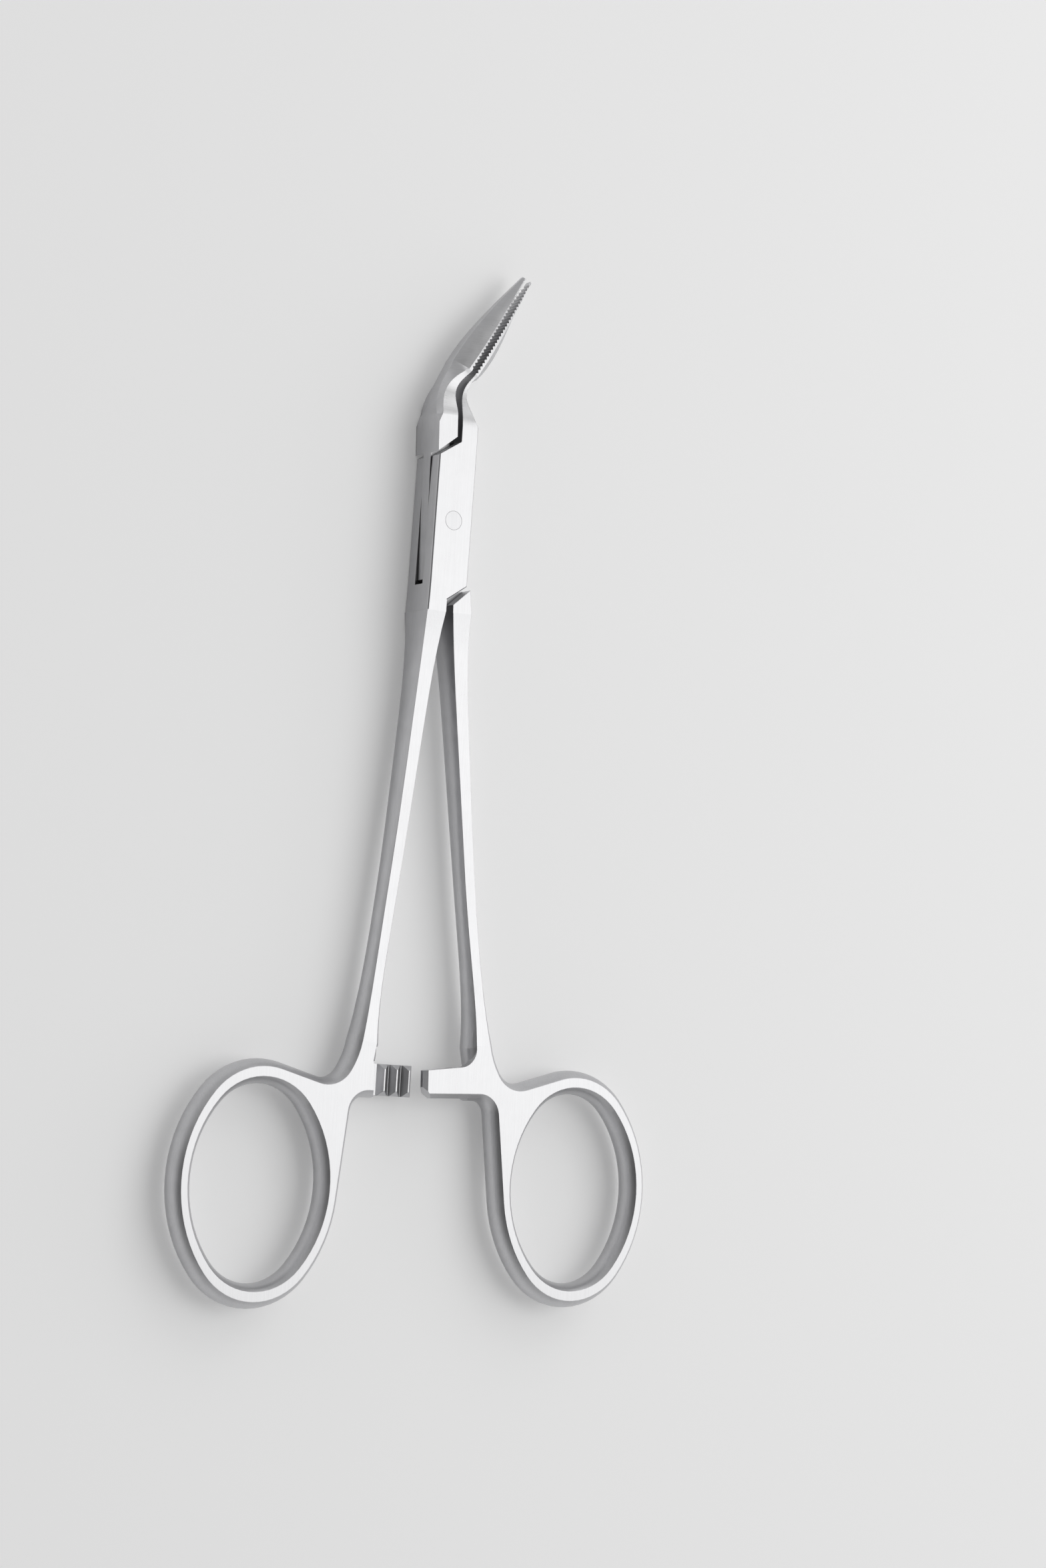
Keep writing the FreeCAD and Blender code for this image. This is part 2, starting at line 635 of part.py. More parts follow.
def rim_swell(edge):
    """Round swell along one edge of a land, to the left of the way along it."""
    start, end = edge.valueAt(edge.FirstParameter), edge.valueAt(edge.LastParameter)
    outward = Z_AXIS.cross(edge.tangentAt(edge.FirstParameter))
    up = V(0, 0, value_of("ring_depth") / 2)
    arc = Part.Arc(start + up, start + outward * value_of("rim_bulge"), start - up).toShape()
    profile = Part.Face(Part.Wire([arc, Part.makeLine(start - up, start + up)]))
    if isinstance(edge.Curve, Part.Circle):
        turn = math.degrees(edge.LastParameter - edge.FirstParameter)
        return profile.revolve(edge.Curve.Center, edge.Curve.Axis, turn)
    return profile.extrude(end - start)


def web_and_ring():
    """Web and ring: a flat plate with a round swell along every rim."""
    rim, root, inner, bore, joint = handle_paths()
    plate = Part.Face([Part.Wire(rim + root + inner + joint), Part.Wire(bore)])
    plate.validate()
    depth = value_of("ring_depth")
    plate = plate.extrude(V(0, 0, depth))
    plate.translate(V(0, 0, -depth / 2))
    swells = [rim_swell(edge) for edge in rim + inner + bore]
    solid = plate.multiFuse(swells)
    solid.translate(V(0, 0, value_of("lock_middle")))
    return held("web_and_ring", solid.removeSplitter())


# Ratchet bars

FACING_Y = "placement(vector(0; 0; 0); rotation(vector(1; 0; 0); 90))"
FACING_X = "placement(vector(0; 0; 0); rotation(vector(0; 0; 1); 90) * rotation(vector(1; 0; 0); 90))"


def tooth_row(first_x, side, crest, valley):
    """Corners of three teeth, from the free end of a bar towards its root."""
    pitch, run = cell("tooth_pitch"), cell("tooth_lock_run")
    half_crest, flat_valley = "%s / 2" % cell("tooth_flat"), cell("tooth_valley")
    corners = []
    for tooth in range(3):
        peak = "%s - %d * %s" % (first_x, tooth, pitch)
        for offset, level in (("+ " + half_crest, crest), ("- " + half_crest, crest),
                              ("- %s - %s" % (half_crest, run), valley),
                              ("- %s - %s - %s" % (half_crest, run, flat_valley), valley)):
            corners.append(("%s (%s %s)" % (side, peak, offset), level))
    return corners


def box_bar():
    """Rear bar, teeth towards the viewer."""
    crest, valley, rear = cell("box_crest"), cell("box_valley"), cell("web_rear")
    root, end, bevel = cell("bar_root_x"), cell("box_bar_end"), cell("bar_bevel")
    top, bottom = "-" + cell("bar_top"), "-" + cell("bar_bottom")
    corners = [(end, valley)] + tooth_row(cell("box_tooth_first"), "", crest, valley)
    corners += [("-" + root, valley), ("-" + root, rear), (end, rear)]
    teeth = prism("box_teeth", closed_sketch("box_teeth_outline", corners, None, FACING_Y),
                  V(0, -1, 0), top, cell("bar_width"))
    profile = [(top, rear), (top, "%s - %s" % (crest, bevel)), ("%s - %s" % (top, bevel), crest),
               ("%s + %s" % (bottom, bevel), crest), (bottom, "%s - %s" % (crest, bevel)),
               (bottom, rear)]
    body = prism("box_bar_body", closed_sketch("box_bar_profile", profile, None, FACING_X),
                 V(1, 0, 0), "-%s - %s" % (root, SPARE), "%s + %s + 2 * %s" % (root, end, SPARE))
    return common("box_bar_teeth", teeth, body)


def box_root_slope():
    """Space above the sloping root of the box half's bar, cut out of its web."""
    valley, front = cell("box_valley"), cell("web_front")
    above = "%s + %s" % (front, SPARE)
    top = "(%s - %s)" % (cell("bar_root_x"), cell("root_slope_in"))
    foot = "(%s - %s)" % (top, cell("root_slope"))
    corners = [("-" + top, front), ("-" + foot, valley), ("0", valley), ("0", above),
               ("-" + top, above)]
    start = "(%s + %s)" % (cell("web_drop"), cell("root_slope_drop"))
    depth = "%s - %s + 3 * %s" % (cell("bar_bottom"), start, SPARE)
    return prism("box_root_slope", closed_sketch("box_root_slope_outline", corners, None, FACING_Y),
                 V(0, -1, 0), "-" + start, depth)


def male_bar():
    """Front bar, plain towards the viewer, with its teeth behind."""
    crest, valley, front = cell("male_crest"), cell("male_valley"), cell("web_front")
    end, bevel = "-" + cell("male_bar_end"), cell("bar_bevel")
    top, bottom, high = "-" + cell("bar_top"), "-" + cell("bar_bottom"), "-" + cell("web_drop")
    buried = "(%s + %s)" % (cell("bar_root_x"), cell("bar_bury"))
    above = "%s + %s" % (high, SPARE)

    corners = [(end, "%s - %s" % (front, bevel)), ("%s + %s" % (end, cell("end_bevel")), front),
               (buried, front), (buried, valley)]
    corners += list(reversed(tooth_row(cell("male_tooth_first"), "-", crest, valley)))
    corners += [(end, valley)]
    teeth = prism("male_teeth", closed_sketch("male_teeth_outline", corners, None, FACING_Y),
                  V(0, -1, 0), above, "%s - %s + 2 * %s" % (cell("bar_bottom"), cell("web_drop"), SPARE))

    shank_side = "(%s - %s / 2)" % (station("shank", len(SHANK) - 1)("centre"),
                                    station("shank", len(SHANK) - 1)("land"))
    fillet, radius = cell("bar_fillet"), cell("bar_fillet_radius")
    rise = "(%s - sqrt(%s ^ 2 - (%s ^ 2 + %s ^ 2) / 4))" % (radius, radius, fillet, cell("bar_drop"))
    outline = [(end, "%s - %s" % (top, cell("end_slope"))),
               (end, "%s + %s" % (bottom, cell("end_cut_rise"))),
               ("%s + %s" % (end, cell("end_cut_run")), bottom), (buried, bottom), (buried, high),
               (shank_side, high), ("%s - %s" % (shank_side, fillet), top)]
    plan = prism("male_bar_plan", closed_sketch("male_bar_outline", outline, {5: ("-" + rise, radius)}),
                 Z_AXIS, cell("web_rear"), cell("ring_depth"))

    profile = [(above, crest), ("%s + %s" % (bottom, bevel), crest),
               (bottom, "%s + %s" % (crest, bevel)), (bottom, "%s - %s" % (front, bevel)),
               ("%s + %s" % (bottom, bevel), front), (above, front)]
    body = prism("male_bar_body", closed_sketch("male_bar_profile", profile, None, FACING_X),
                 V(1, 0, 0), "%s - %s" % (end, SPARE), "%s - %s + 2 * %s" % (buried, end, SPARE))
    return common("male_bar", common("male_bar_teeth", teeth, plan), body)


# Jaws

class Jaw:
    """Serrated jaw and its neck, described by the line of its working face."""

    def __init__(self, half):
        self.half = half
        self.male = half == "male"
        self.root = (cell(half + "_root_x"), cell(half + "_root_y"))
        self.block_end = cell("male_high" if self.male else "lock_high")

    def line(self, key):
        """Named value of the working face's line."""
        return cell("%s_line_%s" % (self.half, key))

    def turned(self, angle):
        """Plane rotation that points into the jaw's body."""
        return "180 - " + angle if self.male else "-" + angle

    def neck_sections(self):
        """Sections from the lock up to just below the root."""
        sections = []
        for index in range(len(NECKS[self.half])):
            at = station(self.half + "neck", index)
            height = part_way(at("share"), self.block_end, self.root[1])
            deep = "(%s - %s)" % (cell("lock_middle"), at("sink"))
            ridge = "(%s - %s)" % (deep, at("fall"))
            place = upright(at("inner"), height, self.turned(at("tilt")))
            sections.append(beak_section("%s_neck_section_%d" % (self.half, index), at, deep, ridge, place))
        return sections

    def jaw_sections(self):
        """Sections from the root to the tip, square to the working face."""
        sections = []
        side = "-1" if self.male else "1"
        shift = "(%s * %s / %s)" % (side, cell("tip_clearance"), self.line("length"))
        for index in range(len(JAWS[self.half])):
            at = station(self.half + "jaw", index)
            x = "(%s + %s * %s + %s * %s)" % (self.root[0], at("share"), self.line("run"),
                                              shift, self.line("climb"))
            y = "(%s + %s * %s - %s * %s)" % (self.root[1], at("share"), self.line("climb"),
                                              shift, self.line("run"))
            deep = "(%s + %s)" % (at("ridge"), at("fall"))
            place = upright(x, y, self.turned(self.line("angle")))
            sections.append(beak_section("%s_jaw_section_%d" % (self.half, index), at, deep,
                                         at("ridge"), place))
        return sections

    def comb(self):
        """Row of small wedges that cuts the serration."""
        side = -1.0 if self.male else 1.0
        way = V(size(self.line("run")), size(self.line("climb")), 0).normalize()
        inward = V(way.y, -way.x, 0) * side
        pitch, deep = value_of("serration_pitch"), value_of("serration_depth")
        half_flat, back = value_of("serration_flat") / 2, pitch
        margin = value_of("serration_margin") + (pitch / 2 if self.male else 0.0)
        start = V(size(self.root[0]), size(self.root[1]), 0) + inward * value_of("tip_clearance")
        count = int((size(self.line("length")) - margin - value_of("serration_margin")) / pitch)
        points = []
        for tooth in range(count):
            foot = margin + tooth * pitch
            for step, level in ((half_flat, -half_flat), (pitch / 2, deep), (pitch - half_flat, -half_flat)):
                points.append(start + way * (foot + step) + inward * level)
        points += [points[-1] - inward * back, points[0] - inward * back, points[0]]
        face = Part.Face(Part.makePolygon(points))
        return held("%s_comb" % self.half, face.extrude(V(0, 0, value_of("lock_depth"))))

    def solids(self):
        """Neck and serrated jaw."""
        necks, jaws = self.neck_sections(), self.jaw_sections()
        solids = []
        if self.male:
            solids.append(loft("male_corner_cut", necks[:2], ruled=True))
            necks = necks[1:]
        solids.append(loft("%s_neck" % self.half, necks + jaws[:1]))
        blank = loft("%s_jaw_blank" % self.half, jaws, degree=3)
        return solids + [cut("%s_jaw" % self.half, blank, self.comb())]


# Assembly

def rounded_block(block):
    """Box block with the long edges of both faces rounded."""
    doc.recompute()
    solid = doc.addObject("Part::Fillet", "box_block_rounded")
    solid.Base = block
    depth, radius = value_of("lock_depth"), value_of("edge_round")
    outermost = value_of("edge_far") - radius
    longest = value_of("shoulder_outer")
    chosen = []
    for number, edge in enumerate(block.Shape.Edges, 1):
        middle = edge.CenterOfMass
        flat = min(abs(middle.z), abs(middle.z - depth)) < 1e-6
        if flat and abs(middle.x) > outermost and edge.Length > longest:
            chosen.append((number, radius, radius))
    solid.Edges = chosen
    return solid


def build():
    """Make the three pieces."""
    fill_sheet()
    web = web_and_ring()
    bare_shank = shank()

    block = cut("box_block_bevelled", rounded_block(box_block()), shoulder_wedge())
    slotted = cut("box_slotted", block, slot_space())
    bored = cut("box_lock", slotted, round_bar("pin_hole", "%s / 2" % cell("pin_diameter")))
    box_web = cut("box_web", mirrored("box_web_blank", web), box_root_slope())
    box_half = fuse("box_half", [bored, mirrored("box_shank", bare_shank), box_web, box_bar()]
                    + Jaw("box").solids())

    male_bore = round_bar("male_bore", "%s / 2 + %s" % (cell("pin_diameter"), cell("pin_clearance")))
    bored_blade = cut("male_blade", blade(), male_bore)
    male_half = fuse("male_half", [bored_blade, male_low_block(), male_high_block(), bare_shank, web,
                                   male_bar()] + Jaw("male").solids())
    male_half.setExpression("Placement", "placement(vector(0; 0; 0); rotation(vector(0; 0; 1); %s))"
                            % cell("rest_opening"))

    joint_pin = round_bar("joint_pin", "%s / 2" % cell("pin_diameter"))
    doc.recompute()
    return [box_half, male_half, joint_pin]


def check(feature):
    """Stop on a piece that failed or is not one clean solid."""
    shape = feature.Shape
    print(feature.Name, feature.State, shape.isValid(), len(shape.Solids), round(shape.Volume, 3))
    if not shape.isValid() or len(shape.Solids) != 1 or "Invalid" in feature.State:
        raise RuntimeError("%s is not one valid solid" % feature.Name)


os.makedirs(NODES, exist_ok=True)
pieces = build()
for item in doc.Objects:
    if "Invalid" in item.State:
        raise RuntimeError("%s failed: %s" % (item.Name, item.State))
for piece in pieces:
    piece.Label = piece.Name
    check(piece)
    piece.Shape.exportStep(os.path.join(NODES, piece.Label + ".step"))
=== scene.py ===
"""Looks of the splinter forceps: satin brushed steel on the CAD pieces, a pale studio and the camera.

Everything is in metres, in the frame of the CAD part: +Y towards the jaws, +Z up from the floor,
and the origin on the pivot axis at the underside of the lock.
"""

import json
import logging
import math
from dataclasses import dataclass
from enum import Enum
from typing import Any, Dict, List, Optional, Tuple

import bpy
from mathutils import Matrix, Vector

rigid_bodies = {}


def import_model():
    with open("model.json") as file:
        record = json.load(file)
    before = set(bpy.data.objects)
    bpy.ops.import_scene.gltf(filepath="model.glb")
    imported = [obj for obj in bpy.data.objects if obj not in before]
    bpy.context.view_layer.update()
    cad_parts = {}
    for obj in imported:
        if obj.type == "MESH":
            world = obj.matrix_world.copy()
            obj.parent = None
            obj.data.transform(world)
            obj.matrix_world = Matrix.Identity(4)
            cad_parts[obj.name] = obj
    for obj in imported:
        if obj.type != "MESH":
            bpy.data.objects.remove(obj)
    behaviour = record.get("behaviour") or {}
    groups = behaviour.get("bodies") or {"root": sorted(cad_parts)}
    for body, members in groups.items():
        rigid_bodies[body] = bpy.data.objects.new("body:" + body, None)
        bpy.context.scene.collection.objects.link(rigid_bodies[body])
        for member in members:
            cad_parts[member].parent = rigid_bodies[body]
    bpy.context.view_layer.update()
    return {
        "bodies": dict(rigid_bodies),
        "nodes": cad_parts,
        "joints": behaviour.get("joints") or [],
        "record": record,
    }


LOG = logging.getLogger("splinter_forceps")
MM = 0.001
WHITE = "FFFFFF"

# Sockets of a Mix node: its factor and result, its two numbers, and its two colours and their result
FACTOR, RESULT = 0, 0
LOW, HIGH = 2, 3
FIRST, SECOND, MIXED = 6, 7, 2

# A noise texture's values lie between about these
NOISE_SPAN = {"From Min": 0.3, "From Max": 0.7}

Triple = Tuple[float, float, float]
Pair = Tuple[float, float]
Tree = bpy.types.NodeTree
Node = bpy.types.Node
Socket = bpy.types.NodeSocket


def linear(hex_colour: str) -> Tuple[float, float, float, float]:
    """Turn a hex colour into linear RGBA.

    Args:
        hex_colour: Colour as six hex digits, as seen on a screen.

    Returns:
        The four linear channels that Blender's sockets take.
    """
    channels = [int(hex_colour[i:i + 2], 16) / 255 for i in (0, 2, 4)]
    bent = [c / 12.92 if c <= 0.04045 else ((c + 0.055) / 1.055) ** 2.4 for c in channels]
    return bent[0], bent[1], bent[2], 1.0


def add_node(tree: Tree, kind: str, inputs: Optional[Dict[Any, Any]] = None, **settings: Any) -> Node:
    """Add a node with its settings and links.

    Args:
        tree: Tree that gets the node.
        kind: Blender's name of its type.
        inputs: For each input, by name or number, its value or the output that feeds it.
        settings: The node's own properties.

    Returns:
        The new node.
    """
    made = tree.nodes.new(kind)
    for name, value in settings.items():
        setattr(made, name, value)
    for name, value in (inputs or {}).items():
        if isinstance(value, Socket):
            tree.links.new(value, made.inputs[name])
        else:
            made.inputs[name].default_value = value
    return made


class Brushing(Enum):
    """Ways that steel is brushed, each with the width of its grain along X, Y and Z in mm."""

    # A belt of grit 320 leaves lines of about 0.04 mm. They are drawn 0.16 mm wide, because finer
    # ones don't show in a render of the whole instrument.
    LENGTHWISE = (0.16, 6.0, 0.16)
    # The jaws are held across a wheel, so the lines run across them and are short.
    CROSSWISE = (1.4, 0.14, 0.9)


@dataclass(frozen=True)
class BrushedSteel:
    """Bare stainless steel with a brushed surface.

    Attributes:
        name: Name of the material.
        flat: Colour of the flat ground faces, in hex.
        side: Colour of the rounded sides, in hex.
        edge_highlight: Painted highlight along the edges, a colour lighter than the faces, in hex.
        crevice_shade: Painted shade colour of slots, tooth valleys and inner corners, in hex.
        flat_roughness: Roughness of the flat faces.
        side_roughness: Roughness of the sides.
        spread: How far the roughness varies with the grain.
        relief: Strength of the grain's bump.
        body: Brushing of the piece up to end_from.
        end: Brushing from end_from on.
        end_from: Place along Y where the other brushing starts, in mm.
        end_blend: Half of the length over which the brushing changes, in mm.
        cloud: Width of the faint mottling, in mm.
        cloud_share: Share of the mottling in the variation, and the rest is grain.
        octaves: Octaves of the noises.
        shade: Darkest and lightest of the variation, as factors of the colour.
        scratch: Depth of the grain's bump, in mm.
        edge: Radius of the edges that tumbling and use have softened, in mm.
        edge_bend: Cosines between the softened and the face's own normal, where the painted highlight starts
            and is full.
        highlight_share: Most of the painted highlight colour on an edge.
        reach: How near a facing wall must be for the painted shade to show, in mm.
        closed_in: Openness of a place that gets the full painted shade, and of one that gets none.
        upright: Upright part of the normal on a side, and on a flat face.
    """

    name: str
    flat: str
    side: str
    edge_highlight: str
    crevice_shade: str
    flat_roughness: float
    side_roughness: float
    spread: float
    relief: float
    body: Brushing
    end: Brushing
    end_from: float = 15.0
    end_blend: float = 1.0
    cloud: float = 2.5
    cloud_share: float = 0.45
    octaves: float = 3.0
    shade: Pair = (0.9, 1.06)
    scratch: float = 0.02
    edge: float = 0.1
    edge_bend: Pair = (0.995, 0.9)
    highlight_share: float = 0.5
    reach: float = 0.5
    closed_in: Pair = (0.3, 0.85)
    upright: Pair = (0.75, 0.97)

    def material(self) -> bpy.types.Material:
        """Build the material.

        Returns:
            The material, with a node tree of its own.
        """
        made = bpy.data.materials.new(self.name)
        made.use_nodes = True
        tree = made.node_tree
        shader = tree.nodes["Principled BSDF"]
        shader.inputs["Metallic"].default_value = 1.0
        place = add_node(tree, "ShaderNodeTexCoord")
        lines = self.lines(tree, place)
        cloud = add_node(tree, "ShaderNodeTexNoise",
                         {"Vector": place.outputs["Object"], "Scale": 1 / (self.cloud * MM),
                          "Detail": self.octaves})
        mottle = add_node(tree, "ShaderNodeMix",
                          {FACTOR: self.cloud_share, LOW: lines, HIGH: cloud.outputs["Fac"]}).outputs[RESULT]
        soft = add_node(tree, "ShaderNodeBevel", {"Radius": self.edge * MM}, samples=6).outputs["Normal"]
        flatness = self.flatness(tree, place)
        colour = self.colour(tree, flatness, mottle, soft)
        tree.links.new(colour, shader.inputs["Base Color"])
        mean = add_node(tree, "ShaderNodeMix",
                        {FACTOR: flatness, LOW: self.side_roughness, HIGH: self.flat_roughness})
        varied = add_node(tree, "ShaderNodeMapRange",
                          {"Value": mottle, **NOISE_SPAN, "To Min": -self.spread, "To Max": self.spread})
        roughness = add_node(tree, "ShaderNodeMath", {0: mean.outputs[RESULT], 1: varied.outputs["Result"]},
                             operation="ADD")
        tree.links.new(roughness.outputs["Value"], shader.inputs["Roughness"])
        bump = add_node(tree, "ShaderNodeBump",
                        {"Height": lines, "Normal": soft, "Strength": self.relief,
                         "Distance": self.scratch * MM})
        tree.links.new(bump.outputs["Normal"], shader.inputs["Normal"])
        return made

    def lines(self, tree: Tree, place: Node) -> Socket:
        """Draw the lines that the brushing left.

        Args:
            tree: Tree of the material.
            place: Texture coordinates.

        Returns:
            The lines, as a noise's values.
        """
        drawn = []
        for brushing in (self.body, self.end):
            scale = [1 / (width * MM) for width in brushing.value]
            grain = add_node(tree, "ShaderNodeMapping", {"Vector": place.outputs["Object"], "Scale": scale})
            drawn.append(add_node(tree, "ShaderNodeTexNoise",
                                  {"Vector": grain.outputs["Vector"], "Scale": 1.0, "Detail": self.octaves}))
        split = add_node(tree, "ShaderNodeSeparateXYZ", {"Vector": place.outputs["Object"]})
        beyond = add_node(tree, "ShaderNodeMapRange",
                          {"Value": split.outputs["Y"], "From Min": (self.end_from - self.end_blend) * MM,
                           "From Max": (self.end_from + self.end_blend) * MM})
        both = add_node(tree, "ShaderNodeMix",
                        {FACTOR: beyond.outputs["Result"], LOW: drawn[0].outputs["Fac"],
                         HIGH: drawn[1].outputs["Fac"]})
        return both.outputs[RESULT]

    def flatness(self, tree: Tree, place: Node) -> Socket:
        """Tell the flat ground faces, which look up or down, from the rounded sides.

        Args:
            tree: Tree of the material.
            place: Texture coordinates.

        Returns:
            1 on the flat faces and 0 on the sides.
        """
        split = add_node(tree, "ShaderNodeSeparateXYZ", {"Vector": place.outputs["Normal"]})
        upright = add_node(tree, "ShaderNodeMath", {0: split.outputs["Z"]}, operation="ABSOLUTE")
        flat = add_node(tree, "ShaderNodeMapRange",
                        {"Value": upright.outputs["Value"], "From Min": self.upright[0],
                         "From Max": self.upright[1]})
        return flat.outputs["Result"]

    def colour(self, tree: Tree, flatness: Socket, mottle: Socket, soft: Socket) -> Socket:
        """Mix the steel's colour from its faces and grain, with a painted highlight on the edges and painted
        shade in the crevices.

        Args:
            tree: Tree of the material.
            flatness: 1 on flat faces and 0 on the sides.
            mottle: Grain and mottling.
            soft: Normal with softened edges.

        Returns:
            The colour.
        """
        bare = add_node(tree, "ShaderNodeMix",
                        {FACTOR: flatness, FIRST: linear(self.side), SECOND: linear(self.flat)},
                        data_type="RGBA")
        shade = add_node(tree, "ShaderNodeMapRange",
                         {"Value": mottle, **NOISE_SPAN, "To Min": self.shade[0], "To Max": self.shade[1]})
        shaded = add_node(tree, "ShaderNodeMix",
                          {FACTOR: 1.0, FIRST: bare.outputs[MIXED], SECOND: shade.outputs["Result"]},
                          data_type="RGBA", blend_type="MULTIPLY")
        # Painted highlight: where the softened normal leaves the face's own, the edge gets a lighter colour
        # that stands in for the light it catches
        face = add_node(tree, "ShaderNodeNewGeometry")
        likeness = add_node(tree, "ShaderNodeVectorMath", {0: soft, 1: face.outputs["Normal"]},
                            operation="DOT_PRODUCT")
        highlight_mask = add_node(tree, "ShaderNodeMapRange",
                          {"Value": likeness.outputs["Value"], "From Min": self.edge_bend[0],
                           "From Max": self.edge_bend[1], "To Min": 0.0, "To Max": self.highlight_share})
        edged = add_node(tree, "ShaderNodeMix",
                         {FACTOR: highlight_mask.outputs["Result"], FIRST: shaded.outputs[MIXED],
                          SECOND: linear(self.edge_highlight)}, data_type="RGBA")
        # Painted shade: slots, tooth valleys and inner corners, where nearby surfaces close in, are darkened
        # towards a dark grey that stands in for the shade there
        openness = add_node(tree, "ShaderNodeAmbientOcclusion", {"Distance": self.reach * MM}, samples=8)
        unshaded = add_node(tree, "ShaderNodeMapRange",
                         {"Value": openness.outputs["AO"], "From Min": self.closed_in[0],
                          "From Max": self.closed_in[1]})
        whole = add_node(tree, "ShaderNodeMix",
                         {FACTOR: unshaded.outputs["Result"], FIRST: linear(self.crevice_shade),
                          SECOND: edged.outputs[MIXED]}, data_type="RGBA")
        return whole.outputs[MIXED]


# Martensitic stainless steel, as of most ring-handled instruments, forged, hardened, belt ground
# and brushed to a satin. To the eye it is a neutral grey in soft tones with no sharp mirror image.
# The flat ground faces are smoother, so they take on the lamps as a bright even tone, and the
# hand-brushed sides stay mid-grey.
SATIN_STEEL = BrushedSteel(
    # The edge colour here is a painted highlight and the crevice colour is painted shade
    name="satin_brushed_stainless_steel", flat="C4C4C5", side="C6C6C8", edge_highlight="D2D2D3", crevice_shade="3C3C3E",
    flat_roughness=0.3, side_roughness=0.33, spread=0.04, relief=0.25,
    body=Brushing.LENGTHWISE, end=Brushing.CROSSWISE)

# Drawn stainless steel rod, riveted over, then ground and brushed together with the plates. To
# the eye it is all but lost in them: a disc that is a shade duller, with the same lines over it.
GROUND_PIN = BrushedSteel(
    # The edge colour here is a painted highlight and the crevice colour is painted shade
    name="flush_ground_stainless_steel", flat="C2C2C3", side="C6C6C8", edge_highlight="C8C8C9", crevice_shade="3C3C3E",
    flat_roughness=0.31, side_roughness=0.33, spread=0.03, relief=0.2,
    body=Brushing.LENGTHWISE, end=Brushing.LENGTHWISE)


@dataclass
class ForgedPiece:
    """Piece of the instrument whose CAD shape is right and which gets its finish here.

    Attributes:
        node: Its CAD node.
        finish: Its steel.
    """

    node: str
    finish: BrushedSteel

    def dress(self, frame: Dict[str, Any]) -> None:
        """Put the finish on the node. Its material is made once and shared.
        """
        material = bpy.data.materials.get(self.finish.name) or self.finish.material()
        slots = frame["nodes"][self.node].data.materials
        slots.clear()
        slots.append(material)
        LOG.info("%s wears %s", self.node, material.name)


@dataclass
class BoxHalf(ForgedPiece):
    """Half with the box of the lock: ring, rear ratchet bar, shank, two plates, neck and jaw."""

    node: str = "box_half"
    finish: BrushedSteel = SATIN_STEEL


@dataclass
class MaleHalf(ForgedPiece):
    """Half whose blade passes through the box: ring, front ratchet bar, shank, blade, neck and jaw."""

    node: str = "male_half"
    finish: BrushedSteel = SATIN_STEEL


@dataclass
class JointPin(ForgedPiece):
    """Pin through both plates and the blade, flush on both sides."""

    node: str = "joint_pin"
    finish: BrushedSteel = GROUND_PIN


@dataclass(frozen=True)
class Panel:
    """Rectangular soft light.

    Attributes:
        name: Its name.
        place: Where it hangs, in metres.
        aim: What it points at, in metres.
        sides: Its width and height, in metres.
        watts: Its power.
    """

    name: str
    place: Triple
    aim: Triple
    sides: Pair
    watts: float

    def hang(self) -> None:
        """Add the light."""
        lamp = bpy.data.lights.new(self.name, "AREA")
        lamp.shape = "RECTANGLE"
        lamp.size, lamp.size_y = self.sides
        lamp.energy = self.watts
        holder = bpy.data.objects.new(self.name, lamp)
        holder.location = self.place
        way = Vector(self.aim) - Vector(self.place)
        holder.rotation_euler = way.to_track_quat("-Z", "Y").to_euler()
        bpy.context.scene.collection.objects.link(holder)
        LOG.info("%s hangs at %s", self.name, self.place)


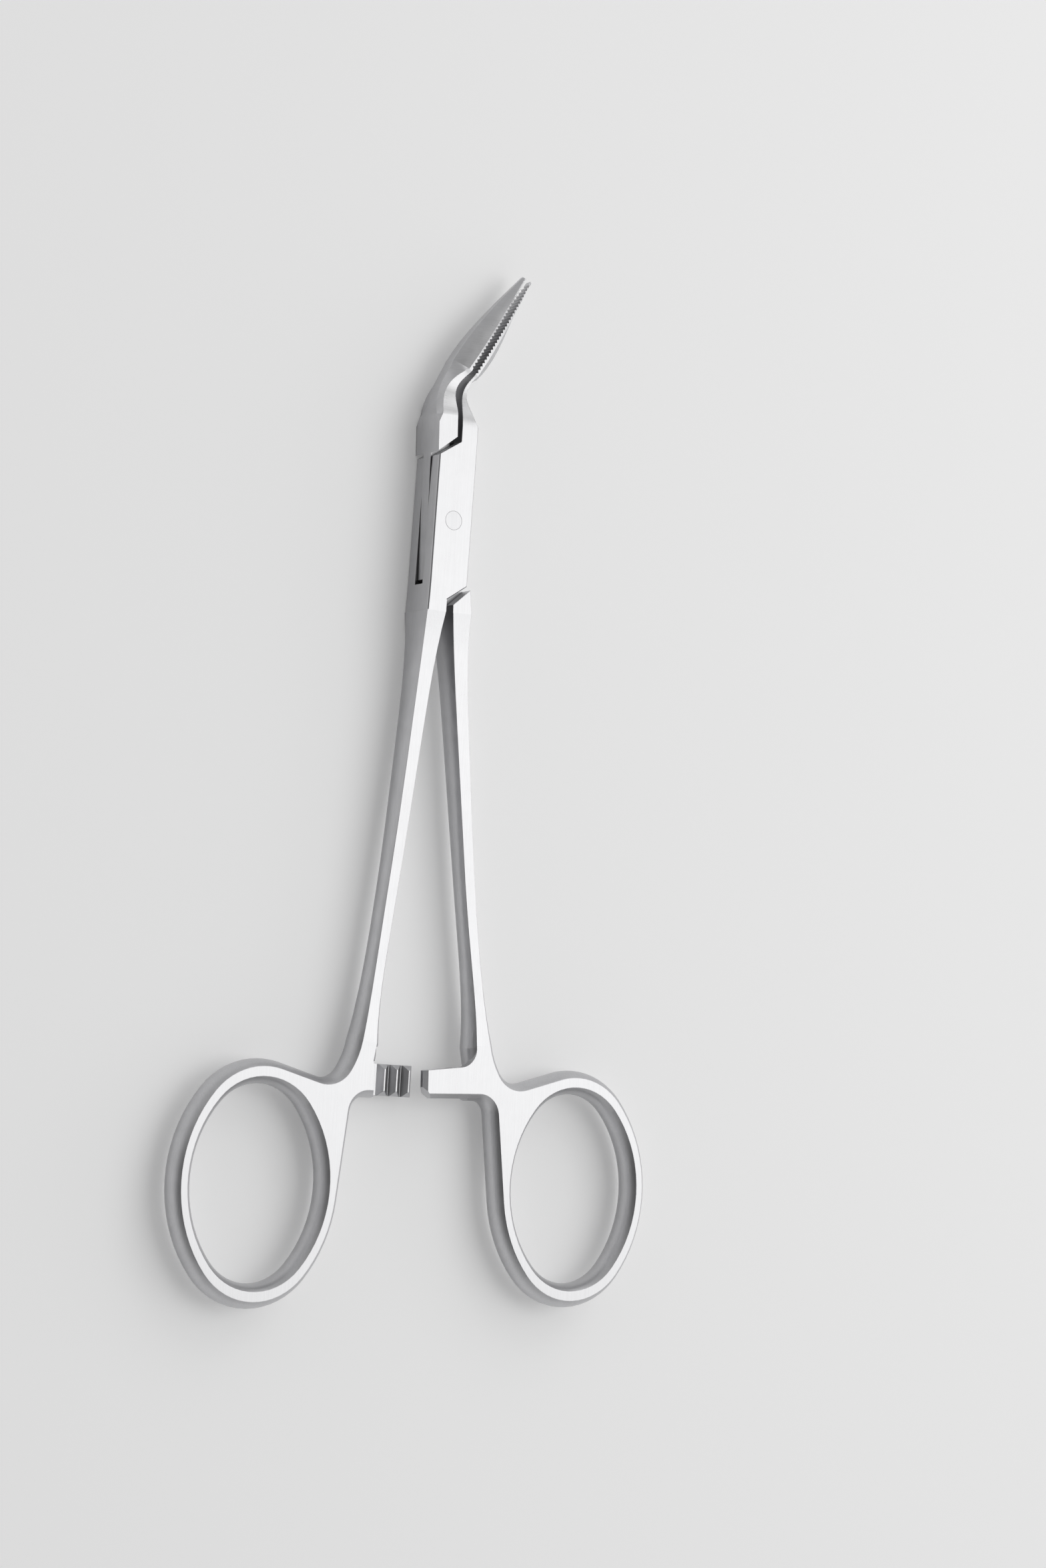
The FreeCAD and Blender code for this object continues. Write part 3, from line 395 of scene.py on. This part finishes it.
@dataclass
class Studio:
    """Floor, light and surroundings.

    Attributes:
        floor_side: Side of the square floor, in metres.
        floor_gap: Gap between the floor and the instrument, in mm.
        floor_colour: Colour of the floor, in hex.
        floor_roughness: Roughness of the floor.
        floor_glow: Light that the floor adds for the camera and in reflections, so that it looks pale.
        sky: Strength of the light from all round.
        dim_sky: Strength of the light from the dim side of the room.
        dim_way: Way to the middle of the dim side, about 1 long.
        dim_edge: Cosines of the angle from dim_way where the dimming starts and is full.
        panels: The soft lights.
    """

    floor_side: float = 6.0
    floor_gap: float = 0.02
    floor_colour: str = "F4F4F4"
    floor_roughness: float = 0.9
    floor_glow: float = 0.18
    sky: float = 0.56
    dim_sky: float = 0.08
    dim_way: Triple = (-0.55, -0.15, 0.82)
    dim_edge: Pair = (0.55, 0.93)
    panels: Tuple[Panel, ...] = (
        # Reflected by the flat front faces towards the camera
        Panel("key_panel", (0.42, 0.03, 0.62), (0.0, -0.03, 0.0), (0.5, 0.7), 1.45),
        # Reflected by the necks and bevels that slope down towards the jaws
        Panel("jaw_panel", (0.42, 0.62, 0.42), (0.01, 0.03, 0.0), (0.5, 0.4), 0.85),
        # Reflected by the box half's jaw, whose flank slopes down away from its working face
        Panel("low_panel", (0.75, -0.02, 0.16), (0.01, 0.0, 0.0), (0.7, 0.24), 0.55),
    )

    def build(self) -> None:
        """Add the floor, the world and the lights."""
        self.lay_floor()
        self.light_all_round()
        for panel in self.panels:
            panel.hang()

    def lay_floor(self) -> None:
        """Add the pale floor just under the instrument."""
        bpy.ops.object.select_all(action="DESELECT")
        bpy.ops.mesh.primitive_plane_add(size=self.floor_side, location=(0, 0, -self.floor_gap * MM))
        plane = bpy.context.active_object
        plane.name = "floor"
        paint = bpy.data.materials.new("floor_paint")
        paint.use_nodes = True
        tree = paint.node_tree
        matt = tree.nodes["Principled BSDF"]
        matt.inputs["Base Color"].default_value = linear(self.floor_colour)
        matt.inputs["Roughness"].default_value = self.floor_roughness
        ray = add_node(tree, "ShaderNodeLightPath")
        seen = add_node(tree, "ShaderNodeMath",
                        {0: ray.outputs["Is Camera Ray"], 1: ray.outputs["Is Glossy Ray"]},
                        operation="MAXIMUM")
        glow = add_node(tree, "ShaderNodeMath", {0: seen.outputs["Value"], 1: self.floor_glow},
                        operation="MULTIPLY")
        matt.inputs["Emission Color"].default_value = linear(WHITE)
        tree.links.new(glow.outputs["Value"], matt.inputs["Emission Strength"])
        plane.data.materials.append(paint)

    def light_all_round(self) -> None:
        """Light everything from the world, which is dimmer on one side, as a studio is."""
        world = bpy.data.worlds.new("soft_sky")
        world.use_nodes = True
        tree = world.node_tree
        background = tree.nodes["Background"]
        background.inputs["Color"].default_value = linear(WHITE)
        way = add_node(tree, "ShaderNodeTexCoord")
        nearness = add_node(tree, "ShaderNodeVectorMath", {0: way.outputs["Generated"], 1: self.dim_way},
                            operation="DOT_PRODUCT")
        strength = add_node(tree, "ShaderNodeMapRange",
                            {"Value": nearness.outputs["Value"], "From Min": self.dim_edge[0],
                             "From Max": self.dim_edge[1], "To Min": self.sky, "To Max": self.dim_sky})
        tree.links.new(strength.outputs["Result"], background.inputs["Strength"])
        bpy.context.scene.world = world


@dataclass
class PhotoCamera:
    """Camera at the photograph's viewing angle.

    Attributes:
        place: Where it stands, in metres.
        aim: Point in the middle of the photograph, in metres.
        roll: Turn about its line of sight, in degrees.
        lens: Focal length in mm, with the sensor's side along the photograph's long side.
        sensor: Side of the sensor, in mm.
        clip: Nearest and farthest that it sees, in metres.
    """

    place: Triple = (-0.23837, -0.07843, 0.39805)
    aim: Triple = (0.015695, -0.034404, 0.003)
    roll: float = 3.417
    lens: float = 78.19
    sensor: float = 36.0
    clip: Pair = (0.01, 20.0)

    def build(self) -> None:
        """Add the camera and use it."""
        data = bpy.data.cameras.new("photo_camera")
        data.sensor_fit = "AUTO"
        data.sensor_width = self.sensor
        data.lens = self.lens
        data.clip_start, data.clip_end = self.clip
        holder = bpy.data.objects.new("photo_camera", data)
        backward = (Vector(self.place) - Vector(self.aim)).normalized()
        right = Vector((0, 1, 0)).cross(backward).normalized()
        upward = backward.cross(right)
        turn = math.radians(self.roll)
        across = right * math.cos(turn) + upward * math.sin(turn)
        top = upward * math.cos(turn) - right * math.sin(turn)
        axes = Matrix((across, top, backward)).transposed().to_4x4()
        holder.matrix_world = Matrix.Translation(self.place) @ axes
        bpy.context.scene.collection.objects.link(holder)
        bpy.context.scene.camera = holder


def main() -> None:
    """Dress the instrument, then set up the studio and the camera."""
    logging.basicConfig(level=logging.INFO, format="%(message)s")
    bpy.context.scene.view_settings.view_transform = "Standard"
    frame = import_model()
    for piece in (BoxHalf(), MaleHalf(), JointPin()):
        piece.dress(frame)
    Studio().build()
    PhotoCamera().build()


if __name__ == "__main__":
    main()
